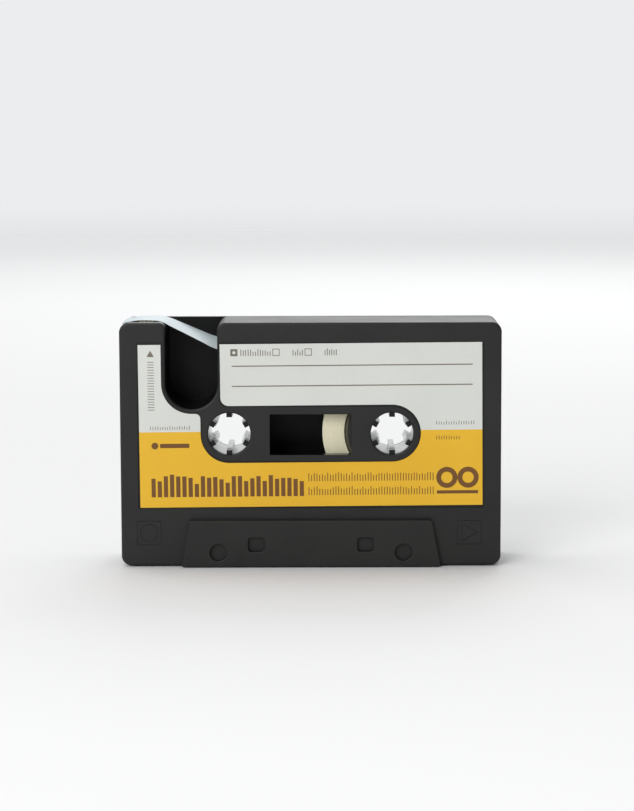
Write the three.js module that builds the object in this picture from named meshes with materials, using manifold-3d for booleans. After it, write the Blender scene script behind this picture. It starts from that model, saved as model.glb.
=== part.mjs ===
// A desk tape dispenser in the shape of an audio cassette.
// Millimetres, +Z up, front towards -Y. The origin is on the surface that it stands on, under its middle.
import * as THREE from "three";
import { mergeVertices } from "three/addons/utils/BufferGeometryUtils.js";
import Module from "manifold-3d";

const wasm = await Module();
wasm.setup();

// Driving dimensions. Heights (z) count from the bottom of the case.
const GAP = 0.3; // left between pieces that touch
const CASE = { width: 140, height: 90, depth: 30, corner: 3.6, edge: 0.8, wall: 2.2, face: 2.9 };
const COVER = 2.7; // thickness of the rear cover's plate
const NOTCH = { x: -43.65, z: 67.75, r: 9.55, postCorner: 2.2, mainCorner: 2.8 };
const HUB = { x: 29.9, z: 49, hole: 7.5, flare: 0.7, teeth: 6, toothWidth: 2.1, toothTip: 6.1, toothDepth: 6.5 };
const LINER = { bore: 8, outer: 9.4, ribTip: 5.6, ring: 11.2, ringHeight: 1.5 };
const WINDOW = { width: 30, bottom: 41.2, top: 56.2, rim: 1.2, depth: 4.4 };
const LABEL = { left: -63, right: 63, bottom: 22.1, top: 82.3, thick: 0.2, pocket: 0.6, sunk: 0.1 };
const KEYSTONE = { proud: 2.8, half: 47.8, topHalf: 44.5, height: 17.2, edge: 0.5, skin: 2.9, inset: 2.6 };
const ROUND_DIMPLE = { x: 34.1, z: 5.3, r: 3.15, depth: 2 };
const SQUARE_DIMPLE = { x: 20.1, z: 8.2, width: 6, height: 5.2, corner: 1.2, depth: 2 };
const MARK = { left: -59.6, right: 58.4, z: 12.3, size: 9.2, line: 0.7, depth: 0.3 };
const PANEL = { depth: 0.5, gapToEdge: 6, corner: 2 }; // shallow panel on the rear cover
const TAPE = { width: 19, rollRadius: 25.6, coreRadius: 17.2, coreBore: 12.7, front: -9.2, thick: 0.3 };
const SPOOL = { bore: 9.7, flange: 16.2, flangeThick: 0.7, length: 20.4 };
const SLOT = { bottom: 78.8, top: 84.4, side: 1.2 }; // where the tape leaves the case, in the notch's wall
const BLADE = { x: -68.8, thick: 0.6, bottom: 80, root: 88.4, tip: 89.3, teeth: 19, shelf: 2, rib: 83, support: 9 };
const PAD = { left: -63, right: -57.6, length: 22, base: 88.9, groove: 89.5, top: 90.1, ribs: 4 };
const BALLAST = { width: 116, bottom: 3.4, top: 19.4, depth: 17.6 };
const SCREW = { xs: [-38, -13, 13, 38], z: 11.4, shank: 1.6, head: 3.2, headHeight: 2.2, bite: 5, boss: 3.4 };
const PEG = { r: 1.6, bore: 1.9, tower: 3.6, towerEnd: 8, tip: 1 };
const PEG_PLACES = [[-62.5, 7], [62.5, 7], [-61.5, 66], [62.5, 82]];
const FOOT = { x: 56, y: 7, width: 14, depth: 5, thick: 0.9, proud: 0.4 };

const front = -CASE.depth / 2;
const back = CASE.depth / 2;
const faceInside = front + CASE.face; // inner side of the front wall
const coverInside = back - COVER; // inner side of the rear cover
const trayEnd = coverInside - GAP; // rear edge of the front shell
const beyond = 5; // how far a cutting solid runs past what it cuts

// Outlines are lists of points in the (x, z) plane, counter-clockwise.
function arc(x, z, r, from, to, step = 15) {
  const steps = Math.max(1, Math.ceil(Math.abs(to - from) / step));
  return Array.from({ length: steps + 1 }, (_, i) => {
    const angle = THREE.MathUtils.degToRad(from + ((to - from) * i) / steps);
    return new THREE.Vector2(x + r * Math.cos(angle), z + r * Math.sin(angle));
  });
}

function roundedRectangle(x0, x1, z0, z1, r) {
  return [
    ...arc(x0 + r, z0 + r, r, 180, 270, 30),
    ...arc(x1 - r, z0 + r, r, 270, 360, 30),
    ...arc(x1 - r, z1 - r, r, 0, 90, 30),
    ...arc(x0 + r, z1 - r, r, 90, 180, 30),
  ];
}

const shrunk = (radius, inset) => Math.max(radius - inset, 0.3);

// The case seen from the front, with its finger notch, moved inwards by inset.
function caseOutline(inset) {
  const w = CASE.width / 2 - inset;
  const top = CASE.height - inset;
  const r = shrunk(CASE.corner, inset);
  const post = shrunk(NOTCH.postCorner, inset);
  const main = shrunk(NOTCH.mainCorner, inset);
  const bend = NOTCH.r + inset;
  return [
    ...arc(-w + r, inset + r, r, 180, 270),
    ...arc(w - r, inset + r, r, 270, 360),
    ...arc(w - r, top - r, r, 0, 90),
    ...arc(NOTCH.x + bend + main, top - main, main, 90, 180, 22.5),
    ...arc(NOTCH.x, NOTCH.z, bend, 0, -180),
    ...arc(NOTCH.x - bend - post, top - post, post, 0, 90, 22.5),
    ...arc(-w + r, top - r, r, 90, 180),
  ];
}

// The label goes round the notch and below and above the plateau that holds the hubs and the window.
function labelOutline(grow) {
  const bend = NOTCH.r + 1.45 - grow;
  const round = 10.55 - grow;
  const neck = NOTCH.z - bend;
  return [
    new THREE.Vector2(LABEL.left - grow, LABEL.bottom - grow),
    new THREE.Vector2(LABEL.right + grow, LABEL.bottom - grow),
    new THREE.Vector2(LABEL.right + grow, LABEL.top + grow),
    new THREE.Vector2(-33 - grow, LABEL.top + grow),
    ...arc(-30 - grow, HUB.z + round + 3, 3, 180, 270, 30),
    ...arc(HUB.x, HUB.z, round, 90, -90),
    ...arc(-HUB.x, HUB.z, round, 270, 180),
    ...arc(-HUB.x - round - 1.8, neck - 1.8, 1.8, 0, 90, 30),
    ...arc(NOTCH.x, NOTCH.z, bend, 270, 180),
    new THREE.Vector2(NOTCH.x - bend, LABEL.top + grow),
    new THREE.Vector2(LABEL.left - grow, LABEL.top + grow),
  ];
}

function keystoneOutline(inset) {
  const slope = (KEYSTONE.half - KEYSTONE.topHalf) / KEYSTONE.height;
  const half = (z) => KEYSTONE.half - slope * z - inset;
  const top = KEYSTONE.height - inset;
  return [[-half(inset), inset], [half(inset), inset], [half(top), top], [-half(top), top]]
    .map(([x, z]) => new THREE.Vector2(x, z));
}

// Solids. A closed geometry becomes one that can be joined and cut.
function solid(geometry) {
  geometry.deleteAttribute("normal");
  geometry.deleteAttribute("uv");
  const merged = mergeVertices(geometry, 1e-4);
  const corners = merged.index.array;
  const triVerts = [];
  for (let i = 0; i < corners.length; i += 3) {
    const [a, b, c] = corners.slice(i, i + 3);
    if (a !== b && b !== c && c !== a) triVerts.push(a, b, c);
  }
  const vertProperties = merged.attributes.position.array;
  const mesh = new wasm.Mesh({ numProp: 3, vertProperties, triVerts: new Uint32Array(triVerts) });
  return new wasm.Manifold(mesh);
}

const join = (...solids) => solids.reduce((sum, one) => sum.add(one));
const cut = (from, ...tools) => tools.reduce((rest, tool) => rest.subtract(tool), from);

// An outline made solid between two depths, with both ends' edges eased by the given amount.
function slab(outline, y0, y1, edge = 0) {
  const geometry = new THREE.ExtrudeGeometry(new THREE.Shape(outline), {
    depth: y1 - y0 - 2 * edge,
    bevelEnabled: edge > 0,
    bevelSize: edge,
    bevelOffset: -edge,
    bevelThickness: edge,
    bevelSegments: 2,
  });
  return solid(geometry.rotateX(Math.PI / 2).translate(0, y1 - edge, 0));
}

function block(x0, x1, y0, y1, z0, z1) {
  const geometry = new THREE.BoxGeometry(x1 - x0, y1 - y0, z1 - z0);
  return solid(geometry.translate((x0 + x1) / 2, (y0 + y1) / 2, (z0 + z1) / 2));
}

// A profile of [radius, y] pairs turned about an axis along Y through (x, z).
function turned(profile, x, z, segments = 32) {
  const points = profile.map(([r, y]) => new THREE.Vector2(r, y));
  if (THREE.ShapeUtils.area(points) < 0) points.reverse();
  points.push(points[0].clone());
  return solid(new THREE.LatheGeometry(points, segments).translate(x, 0, z));
}

const rod = (x, z, r, y0, y1, segments) => turned([[0, y0], [r, y0], [r, y1], [0, y1]], x, z, segments);
const tube = (x, z, bore, r, y0, y1, segments) =>
  turned([[bore, y0], [r, y0], [r, y1], [bore, y1]], x, z, segments);

// A bar that points outwards from a hub's axis, between two radii, at an angle in degrees.
function spoke(x, z, inner, outer, width, y0, y1, angle) {
  const geometry = new THREE.BoxGeometry(outer - inner, y1 - y0, width);
  geometry.translate((inner + outer) / 2, (y0 + y1) / 2, 0);
  return solid(geometry.rotateY(THREE.MathUtils.degToRad(angle)).translate(x, 0, z));
}

function spokes(x, z, inner, outer, y0, y1) {
  const angles = Array.from({ length: HUB.teeth }, (_, i) => 30 + (360 / HUB.teeth) * i);
  return join(...angles.map((angle) => spoke(x, z, inner, outer, HUB.toothWidth, y0, y1, angle)));
}

// Both halves of the case have the same raised keystone with four blind dimples at its foot.
function keystone(side) {
  const face = side * (CASE.depth / 2 + KEYSTONE.proud);
  const range = (depth, from = face) => [from, from - side * depth].sort((a, b) => a - b);
  const raised = slab(keystoneOutline(0), ...range(KEYSTONE.proud + KEYSTONE.skin), KEYSTONE.edge);
  const cored = slab(keystoneOutline(KEYSTONE.inset), ...range(KEYSTONE.proud + beyond, face - side * KEYSTONE.skin));
  const dimples = [-1, 1].flatMap((hand) => {
    const round = hand * ROUND_DIMPLE.x;
    const square = hand * SQUARE_DIMPLE.x;
    const w = SQUARE_DIMPLE.width / 2;
    const h = SQUARE_DIMPLE.height / 2;
    const outline = roundedRectangle(
      square - w, square + w, SQUARE_DIMPLE.z - h, SQUARE_DIMPLE.z + h, SQUARE_DIMPLE.corner);
    return [
      rod(round, ROUND_DIMPLE.z, ROUND_DIMPLE.r, ...range(ROUND_DIMPLE.depth + 1, face + side), 24),
      slab(outline, ...range(SQUARE_DIMPLE.depth + 1, face + side)),
    ];
  });
  return { raised, cored, dimples };
}

// The hub's hole through a wall, flared at the outer face.
function hubHole(x, side) {
  const y = side * (CASE.depth / 2);
  const flare = [[0, y + side], [HUB.hole + HUB.flare + 1, y + side], [HUB.hole, y - side * HUB.flare]];
  return turned([...flare, [HUB.hole, y - side * beyond], [0, y - side * beyond]], x, HUB.z);
}

function makeFrontShell() {
  const body = cut(
    slab(caseOutline(0), front, trayEnd + beyond, CASE.edge),
    block(-CASE.width, CASE.width, trayEnd, back + beyond, -beyond, CASE.height + beyond),
    slab(caseOutline(CASE.wall), faceInside, trayEnd + beyond),
  );
  const { raised, cored, dimples } = keystone(-1);
  const half = WINDOW.width / 2;
  const rim = WINDOW.rim;
  const windowRim = block(
    -half - rim, half + rim, front + 1, front + WINDOW.depth, WINDOW.bottom - rim, WINDOW.top + rim);
  const hubs = [-HUB.x, HUB.x];
  const rings = hubs.map((x) =>
    tube(x, HUB.z, LINER.outer + GAP, LINER.ring, faceInside - 1, faceInside + LINER.ringHeight));
  const teeth = hubs.map((x) =>
    spokes(x, HUB.z, HUB.toothTip, LINER.bore - GAP, front + 0.5, front + HUB.toothDepth));
  const towers = PEG_PLACES.map(([x, z]) => rod(x, z, PEG.tower, faceInside - 1, PEG.towerEnd, 16));
  const ballastFront = -BALLAST.depth / 2;
  const bosses = SCREW.xs.map((x) =>
    rod(x, SCREW.z, SCREW.boss, front - 0.5, ballastFront - GAP, 16));

  const bladeSide = BLADE.x + BLADE.thick + GAP;
  const slotBottom = BLADE.bottom - GAP;
  const bladeShelf = block(
    -CASE.width / 2 + 1, bladeSide + 1.5, faceInside - 1, BLADE.support, slotBottom - BLADE.shelf, slotBottom);
  const bladeRib = block(
    bladeSide, bladeSide + 1.2, faceInside - 1, BLADE.support, BLADE.rib, CASE.height - 1);
  const halfPad = PAD.length / 2 + GAP;
  const halfBlade = TAPE.width / 2 + GAP;
  const bladeSlot = block(BLADE.x - GAP, bladeSide, -halfBlade, halfBlade, slotBottom, CASE.height + beyond);
  const padPocket = block(
    PAD.left - GAP, PAD.right + GAP, -halfPad, halfPad, PAD.base - GAP, CASE.height + beyond);

  const notchWall = NOTCH.x + NOTCH.r;
  const tapeSlot = block(
    notchWall - 1, notchWall + CASE.wall + 1, TAPE.front - SLOT.side, trayEnd + beyond, SLOT.bottom, SLOT.top);
  const footPockets = footPlaces().map(([x, y]) => block(
    x - FOOT.width / 2 - GAP, x + FOOT.width / 2 + GAP, y - FOOT.depth / 2 - GAP, y + FOOT.depth / 2 + GAP,
    -1, FOOT.thick - FOOT.proud + GAP));

  return cut(
    join(cut(join(body, raised), cored), windowRim, ...rings, ...towers, ...bosses, bladeShelf, bladeRib),
    slab(labelOutline(GAP), front - 1, front + LABEL.pocket),
    block(-half, half, front - 1, front + WINDOW.depth + 1, WINDOW.bottom, WINDOW.top),
    ...hubs.map((x) => hubHole(x, -1)),
    ...towers.map((_, i) => rod(...PEG_PLACES[i], PEG.bore, PEG.tip - 1, PEG.towerEnd + 1, 16)),
    ...SCREW.xs.map((x) => rod(x, SCREW.z, SCREW.shank + GAP, ballastFront - SCREW.bite - GAP, 0, 16)),
    ...dimples,
    ...engravedMarks(),
    bladeSlot, padPocket, tapeSlot,
    ...footPockets,
  ).add(join(...teeth));
}

// Two shallow square frames that are moulded into the lower corners.
function engravedMarks() {
  return [MARK.left, MARK.right].map((x) => {
    const frame = (size) => block(
      x - size / 2, x + size / 2, front - 1, front + MARK.depth, MARK.z - size / 2, MARK.z + size / 2);
    return frame(MARK.size).subtract(frame(MARK.size - 2 * MARK.line));
  });
}

function makeRearCover() {
  const inset = CASE.wall + GAP;
  const w = CASE.width / 2;
  const outline = roundedRectangle(-w, w, 0, CASE.height, CASE.corner);
  const plate = cut(
    slab(outline, coverInside - beyond, back, CASE.edge),
    block(-CASE.width, CASE.width, -CASE.depth, coverInside, -beyond, CASE.height + beyond),
  );
  const lip = slab(caseOutline(inset), coverInside - 1.7, coverInside + 1)
    .subtract(slab(caseOutline(inset + 1.2), coverInside - 3, coverInside + 2));
  const { raised, cored, dimples } = keystone(1);
  const hubs = [-HUB.x, HUB.x];
  const rings = hubs.map((x) =>
    tube(x, HUB.z, LINER.outer + GAP, LINER.ring, coverInside - LINER.ringHeight, coverInside + 1));
  const pegs = PEG_PLACES.map(([x, z]) => turned(
    [[0, PEG.tip], [PEG.r - 0.6, PEG.tip], [PEG.r, PEG.tip + 1], [PEG.r, coverInside + 1], [0, coverInside + 1]],
    x, z, 16));
  const panel = roundedRectangle(
    -w + PANEL.gapToEdge, w - PANEL.gapToEdge, LABEL.bottom, LABEL.top, PANEL.corner);
  return cut(
    join(cut(join(plate, raised), cored), lip, ...rings, ...pegs),
    slab(panel, back - PANEL.depth, back + 1),
    ...hubs.map((x) => hubHole(x, 1)),
    ...dimples,
  );
}

// A ribbed tube that opens the hub right through the case; the right one also carries the spool.
function makeHubLiner(x) {
  const start = faceInside + GAP;
  const end = coverInside - GAP;
  return join(
    tube(x, HUB.z, LINER.bore, LINER.outer, start, end),
    spokes(x, HUB.z, LINER.ribTip, LINER.bore + 0.5, front + HUB.toothDepth + GAP, end),
  );
}

function makeSpool() {
  const y0 = TAPE.front - GAP - SPOOL.flangeThick;
  const barrel = TAPE.coreBore - GAP;
  const y1 = y0 + SPOOL.length;
  return turned([
    [SPOOL.bore, y0], [SPOOL.flange, y0], [SPOOL.flange, y0 + SPOOL.flangeThick],
    [barrel, y0 + SPOOL.flangeThick], [barrel, y1], [SPOOL.bore, y1],
  ], HUB.x, HUB.z, 48);
}

const makeTapeCore = () =>
  tube(HUB.x, HUB.z, TAPE.coreBore, TAPE.coreRadius, TAPE.front, TAPE.front + TAPE.width, 48);

const makeTapeRoll = () => tube(
  HUB.x, HUB.z, TAPE.coreRadius + GAP, TAPE.rollRadius, TAPE.front, TAPE.front + TAPE.width, 64);

// The free end: off the top of the roll, out of the slot, up to the post, over the blade and a little down.
function makeTapeStrip() {
  const top = PAD.top + GAP;
  const under = [
    [HUB.x + 2.3, HUB.z + TAPE.rollRadius + GAP],
    [NOTCH.x + NOTCH.r + CASE.wall, 81.05],
    [NOTCH.x + NOTCH.r, 81.3],
    [NOTCH.x - NOTCH.r - 0.8, 90.1],
    [PAD.right + 0.6, top],
    [PAD.left, top],
    [BLADE.x + 1.6, top - 0.35],
    [BLADE.x - 0.1, BLADE.tip + GAP],
    [-CASE.width / 2 + GAP, 89],
  ].map(([x, z]) => new THREE.Vector2(x, z));
  const over = under.map((point, i) => {
    const along = under[Math.min(i + 1, under.length - 1)].clone().sub(under[Math.max(i - 1, 0)]).normalize();
    return new THREE.Vector2(point.x + along.y * TAPE.thick, point.y - along.x * TAPE.thick);
  });
  return slab([...under, ...over.reverse()].reverse(), TAPE.front, TAPE.front + TAPE.width);
}

// A steel strip whose upper edge is a row of teeth along Y.
function makeCutterBlade() {
  const half = TAPE.width / 2;
  const pitch = TAPE.width / BLADE.teeth;
  const teeth = Array.from({ length: BLADE.teeth }, (_, i) => [
    [half - i * pitch, BLADE.root],
    [half - (i + 0.5) * pitch, BLADE.tip],
  ]).flat();
  const outline = [[-half, BLADE.bottom], [half, BLADE.bottom], ...teeth, [-half, BLADE.root]];
  const shape = new THREE.Shape(outline.map(([y, z]) => new THREE.Vector2(y, z)));
  const geometry = new THREE.ExtrudeGeometry(shape, { depth: BLADE.thick, bevelEnabled: false });
  const standing = geometry.applyMatrix4(new THREE.Matrix4().makeBasis(
    new THREE.Vector3(0, 1, 0), new THREE.Vector3(0, 0, 1), new THREE.Vector3(1, 0, 0)));
  return solid(standing.translate(BLADE.x, 0, 0));
}

// A small plate with ribs across the tape's path, so that the tape's end lifts off easily.
function makeLandingPad() {
  const pitch = (PAD.right - PAD.left) / (2 * PAD.ribs - 1);
  const ribs = Array.from({ length: PAD.ribs }, (_, i) => {
    const x = PAD.right - 2 * i * pitch;
    return [[x, PAD.groove], [x, PAD.top], [x - pitch, PAD.top], [x - pitch, PAD.groove]];
  }).flat();
  const outline = [[PAD.left, PAD.base], [PAD.right, PAD.base], ...ribs.slice(1, -1)];
  return slab(outline.map(([x, z]) => new THREE.Vector2(x, z)), -PAD.length / 2, PAD.length / 2);
}

function makeBallast() {
  const w = BALLAST.width / 2;
  const d = BALLAST.depth / 2;
  const holes = SCREW.xs.map((x) => rod(x, SCREW.z, SCREW.shank + GAP, -d - 1, d + 1, 16));
  return cut(block(-w, w, -d, d, BALLAST.bottom, BALLAST.top), ...holes);
}

// A self-tapping screw with a domed head and a cross recess, driven in from the rear.
function makeScrew(x) {
  const seat = BALLAST.depth / 2 + GAP;
  const tip = -BALLAST.depth / 2 - SCREW.bite;
  const top = seat + SCREW.headHeight;
  const body = turned([
    [0, tip], [SCREW.shank, tip + 2], [SCREW.shank, seat], [SCREW.head, seat], [SCREW.head, top - 1],
    [SCREW.head * 0.7, top - 0.2], [0, top],
  ], x, SCREW.z, 16);
  const slot = (w, h) => block(x - w, x + w, top - 1.2, top + 1, SCREW.z - h, SCREW.z + h);
  return cut(body, slot(1.8, 0.35), slot(0.35, 1.8));
}

function footPlaces() {
  return [[-FOOT.x, -FOOT.y], [FOOT.x, -FOOT.y], [-FOOT.x, FOOT.y], [FOOT.x, FOOT.y]];
}

function makeFoot([x, y]) {
  const w = FOOT.width / 2;
  const d = FOOT.depth / 2;
  return block(x - w, x + w, y - d, y + d, -FOOT.proud, FOOT.thick - FOOT.proud);
}

const makeLabel = () => slab(labelOutline(0), front + LABEL.sunk, front + LABEL.sunk + LABEL.thick);

// The scene graph: one named mesh for each piece, lifted so that the feet stand on z = 0.
const group = new THREE.Group();
group.position.z = FOOT.proud;

function add(name, made, material) {
  const { numProp, vertProperties, triVerts } = made.getMesh();
  const geometry = new THREE.BufferGeometry();
  const interleaved = new THREE.InterleavedBuffer(vertProperties, numProp);
  geometry.setAttribute("position", new THREE.InterleavedBufferAttribute(interleaved, 3, 0));
  geometry.setIndex(new THREE.BufferAttribute(triVerts, 1));
  const mesh = new THREE.Mesh(geometry, material);
  mesh.name = name;
  group.add(mesh);
}

const finish = (color, roughness, metalness = 0) =>
  new THREE.MeshStandardMaterial({ color, roughness, metalness, flatShading: true });

add("front_shell", makeFrontShell(), finish("#35362f", 0.55));
add("rear_cover", makeRearCover(), finish("#32332d", 0.55));
add("front_label", makeLabel(), finish("#d2d4cf", 0.4));
add("hub_liner_left", makeHubLiner(-HUB.x), finish("#c4c6c4", 0.25));
add("hub_liner_right", makeHubLiner(HUB.x), finish("#c4c6c4", 0.25));
add("spool", makeSpool(), finish("#151514", 0.5));
add("tape_core", makeTapeCore(), finish("#b5ac8e", 0.85));
add("tape_roll", makeTapeRoll(), finish("#d0cba8", 0.35));
add("tape_strip", makeTapeStrip(), finish("#cddade", 0.3));
add("cutter_blade", makeCutterBlade(), finish("#a9aaa8", 0.3, 1));
add("landing_pad", makeLandingPad(), finish("#8f8468", 0.5));
add("ballast_weight", makeBallast(), finish("#6d6f70", 0.5, 1));
SCREW.xs.forEach((x, i) => add(`ballast_screw_${i + 1}`, makeScrew(x), finish("#9b9b96", 0.35, 1)));
footPlaces().forEach((place, i) => add(`foot_${i + 1}`, makeFoot(place), finish("#1c1c1b", 0.9)));

export default group;
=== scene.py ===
# %% [markdown]
# # A desk tape dispenser shaped like an audio cassette
# The CAD nodes say where everything is; the cells below build finer shapes in the same places and give each one
# a material. Shapes worked out from the frame's boxes, not modelled by hand, stay right if the CAD changes.

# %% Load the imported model
import math

import bmesh
import bpy
from mathutils import Matrix, Vector


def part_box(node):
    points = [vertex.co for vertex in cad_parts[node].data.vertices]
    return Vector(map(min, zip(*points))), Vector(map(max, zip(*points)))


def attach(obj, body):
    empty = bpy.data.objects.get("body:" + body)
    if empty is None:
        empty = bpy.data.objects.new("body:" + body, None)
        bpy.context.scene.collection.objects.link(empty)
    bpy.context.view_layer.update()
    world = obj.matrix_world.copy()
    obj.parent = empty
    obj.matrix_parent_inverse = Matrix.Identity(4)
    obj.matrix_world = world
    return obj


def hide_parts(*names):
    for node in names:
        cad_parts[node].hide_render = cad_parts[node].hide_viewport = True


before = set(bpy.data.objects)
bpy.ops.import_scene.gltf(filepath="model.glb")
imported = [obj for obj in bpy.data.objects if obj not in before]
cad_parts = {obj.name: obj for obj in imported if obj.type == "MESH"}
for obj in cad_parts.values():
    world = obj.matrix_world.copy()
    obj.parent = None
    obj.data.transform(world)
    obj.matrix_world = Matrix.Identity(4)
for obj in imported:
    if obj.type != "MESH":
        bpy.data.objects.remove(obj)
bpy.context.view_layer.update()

scene = bpy.context.scene
scene.view_settings.view_transform = "Standard"

# %% [markdown]
# ## Sizes
# Lengths are in millimetres in case coordinates: x to the right, y to the back, z up from the case's bottom.
# The feet lift the case, so `LIFT` is added when a mesh is made. What a CAD node's box gives is read off it.

# %% Read the frame
MM = 1000
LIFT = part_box("front_shell")[0].z * MM


def node_box(name):
    """Lowest and highest corner of a CAD node, in case coordinates."""
    return [corner * MM - Vector((0, 0, LIFT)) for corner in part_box(name)]


shell_low, shell_high = node_box("front_shell")
cover_high = node_box("rear_cover")[1]
liner_low, liner_high = node_box("hub_liner_right")
label_low, label_high = node_box("front_label")
roll_low, roll_high = node_box("tape_roll")
core_low, core_high = node_box("tape_core")
spool_low, spool_high = node_box("spool")
blade_low, blade_high = node_box("cutter_blade")
pad_low, pad_high = node_box("landing_pad")
bar_low, bar_high = node_box("ballast_weight")

KEYSTONE_PROUD = 2.8
HALF_WIDTH, HEIGHT = shell_high.x, shell_high.z
FRONT, BACK, SEAM = shell_low.y + KEYSTONE_PROUD, cover_high.y - KEYSTONE_PROUD, shell_high.y
HUB_X, HUB_Z = (liner_low.x + liner_high.x) / 2, (liner_low.z + liner_high.z) / 2
LINER_OUTER = (liner_high.x - liner_low.x) / 2
ROLL_RADIUS, CORE_RADIUS = (roll_high.z - roll_low.z) / 2, (core_high.z - core_low.z) / 2
SPOOL_FLANGE = (spool_high.z - spool_low.z) / 2
print(f"case {2 * HALF_WIDTH:.1f} x {BACK - FRONT:.1f} x {HEIGHT:.1f} mm")
print(f"hubs at x {HUB_X:.1f}, z {HUB_Z:.1f}")

# %% Name the details
GAP = 0.3
CORNER, EDGE, WALL, SKIN = 3.6, 0.9, 2.2, 2.9
NOTCH_X, NOTCH_Z, NOTCH_R, POST_CORNER, MAIN_CORNER = -43.65, 67.75, 9.55, 2.2, 2.8
HOLE_R, HOLE_FLARE, TOOTH_WIDTH, TOOTH_TIP, TOOTH_DEPTH, TEETH = 7.8, 0.5, 2.1, 6.1, 6.5, 6
LINER_BORE, RIB_TIP, RING_R, RING_HEIGHT = 8.0, 5.6, 11.2, 1.5
WINDOW_HALF, WINDOW_LOW, WINDOW_HIGH, WINDOW_DEPTH, WINDOW_RIM = 15.0, 41.2, 56.2, 4.4, 1.2
POCKET, POCKET_GAP, LABEL_TILT, SPLIT_Z = 0.6, 0.55, 0.38, 50.1
KEYSTONE_HALF, KEYSTONE_TOP, KEYSTONE_HEIGHT, KEYSTONE_WALL = 47.8, 44.5, 17.2, 2.6
CORE_BORE, SPOOL_BORE, SPOOL_FLANGE_THICK = 12.7, 9.7, 0.7
KEYSTONE_EDGE, KEYSTONE_ROOT = 0.35, 5.7
DIMPLE_X, DIMPLE_Z, DIMPLE_R, DIMPLE_DEPTH, DIMPLE_FLARE = 34.1, 5.3, 3.15, 2.0, 0.3
SQUARE_X, SQUARE_Z, SQUARE_WIDE, SQUARE_HIGH, SQUARE_CORNER = 20.1, 8.2, 3, 2.6, 1.2
MARK_LEFT, MARK_RIGHT, MARK_Z, MARK_HALF = -59.6, 58.4, 12.3, 4.6
GROOVE_WIDTH, GROOVE_DEPTH = 0.42, 0.26
PLATEAU_R, PLATEAU_PROUD = 10.1, 0.12
SLOT_LOW, SLOT_HIGH, SLOT_SIDE = 78.8, 84.4, 1.2
BACKING_END, SHELF, RIB_LOW, RIB_THICK = 9, 2, 83, 1.2
TOWER_R, TOWER_END, SOCKET_R, SOCKET_END, PEG_R = 3.6, 8, 1.9, 9, 1.6
PANEL_IN, PANEL_CORNER, PANEL_DEPTH = 6, 2, 0.5
SCREW_XS, SCREW_Z, SHANK, BOSS_R, BITE = (-38, -13, 13, 38), 11.4, 1.6, 3.4, 5
PEGS = ((-62.5, 7), (62.5, 7), (-61.5, 66), (62.5, 82))
INSIDE_FRONT, INSIDE_BACK = FRONT + SKIN, SEAM + GAP
BEYOND = 5

# %% [markdown]
# ## Mesh helpers
# A moulded box is an outline carried through a list of depths. Moving it inwards along a quarter circle near a
# face rounds that edge, so it catches light. A Bevel modifier breaks down where curved cuts meet.


# %% Make objects from points and faces
def new_object(name, points=(), faces=()):
    mesh = bpy.data.meshes.new(name)
    mesh.from_pydata([Vector((x, y, z + LIFT)) / MM for x, y, z in points], [], list(faces))
    obj = bpy.data.objects.new(name, mesh)
    scene.collection.objects.link(obj)
    return obj


def face_outwards(obj):
    work = bmesh.new()
    work.from_mesh(obj.data)
    bmesh.ops.remove_doubles(work, verts=work.verts, dist=1e-7)
    bmesh.ops.recalc_face_normals(work, faces=work.faces)
    work.to_mesh(obj.data)
    work.free()
    return obj


def arc(x, z, r, start, end, step=7.5):
    steps = max(1, math.ceil(abs(end - start) / step))
    angles = [math.radians(start + (end - start) * i / steps) for i in range(steps + 1)]
    return [(x + r * math.cos(a), z + r * math.sin(a)) for a in angles]


def rounded_polygon(corners, radius):
    """A function of an inset that gives the outline. Corners go counter-clockwise and are convex."""
    def outline(inset=0.0):
        r, points = max(radius - inset, 0.05), []
        for i, corner in enumerate(corners):
            b = Vector(corner)
            before, after = Vector(corners[i - 1]), Vector(corners[(i + 1) % len(corners)])
            u, v = (b - before).normalized(), (after - b).normalized()
            nu, nv = Vector((-u.y, u.x)), Vector((-v.y, v.x))
            centre = b + (inset + r) * (nu + nv) / (1 + nu.dot(nv))
            start = math.degrees(math.atan2(-nu.y, -nu.x))
            turn = math.degrees(math.acos(max(-1, min(1, u.dot(v)))))
            points += arc(*centre, r, start, start + turn, 15)
        return points
    return outline


def rectangle(x0, x1, z0, z1, radius=0.05):
    return rounded_polygon([(x0, z0), (x1, z0), (x1, z1), (x0, z1)], radius)


def circle(x, z, r, step=7.5):
    return lambda inset=0.0: arc(x, z, r - inset, 0, 360 - step, step)


def eased(y, into, ease, steps=4):
    """Depths and insets that round an edge, from the face at y towards +y or -y as into says."""
    quarter = [math.pi / 2 * i / steps for i in range(steps + 1)]
    return [(y + into * ease * (1 - math.cos(t)), ease * (1 - math.sin(t))) for t in quarter]


def loft(name, outline, profile):
    """Carry an outline through (depth, inset) pairs and close both ends."""
    rings = [[(x, y, z) for x, z in outline(inset)] for y, inset in profile]
    n = len(rings[0])
    faces = [(k * n + i, k * n + (i + 1) % n, (k + 1) * n + (i + 1) % n, (k + 1) * n + i)
             for k in range(len(rings) - 1) for i in range(n)]
    faces += [tuple(range(n)), tuple(range((len(rings) - 1) * n, len(rings) * n))]
    return face_outwards(new_object(name, [p for ring in rings for p in ring], faces))


def slab(name, outline, y0, y1, ease0=0.0, ease1=0.0):
    start = eased(y0, 1, ease0) if ease0 else [(y0, 0)]
    end = eased(y1, -1, ease1)[::-1] if ease1 else [(y1, 0)]
    return loft(name, outline, start + end)


def opening(name, outline, face_y, into, depth, flare=0.25):
    """A cutter whose mouth widens at the face, so that it leaves a rounded edge."""
    mouth = [(y, -inset) for y, inset in eased(face_y, into, flare)]
    return loft(name, outline, [(face_y - into, -flare)] + mouth + [(face_y + into * depth, 0)])


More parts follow.
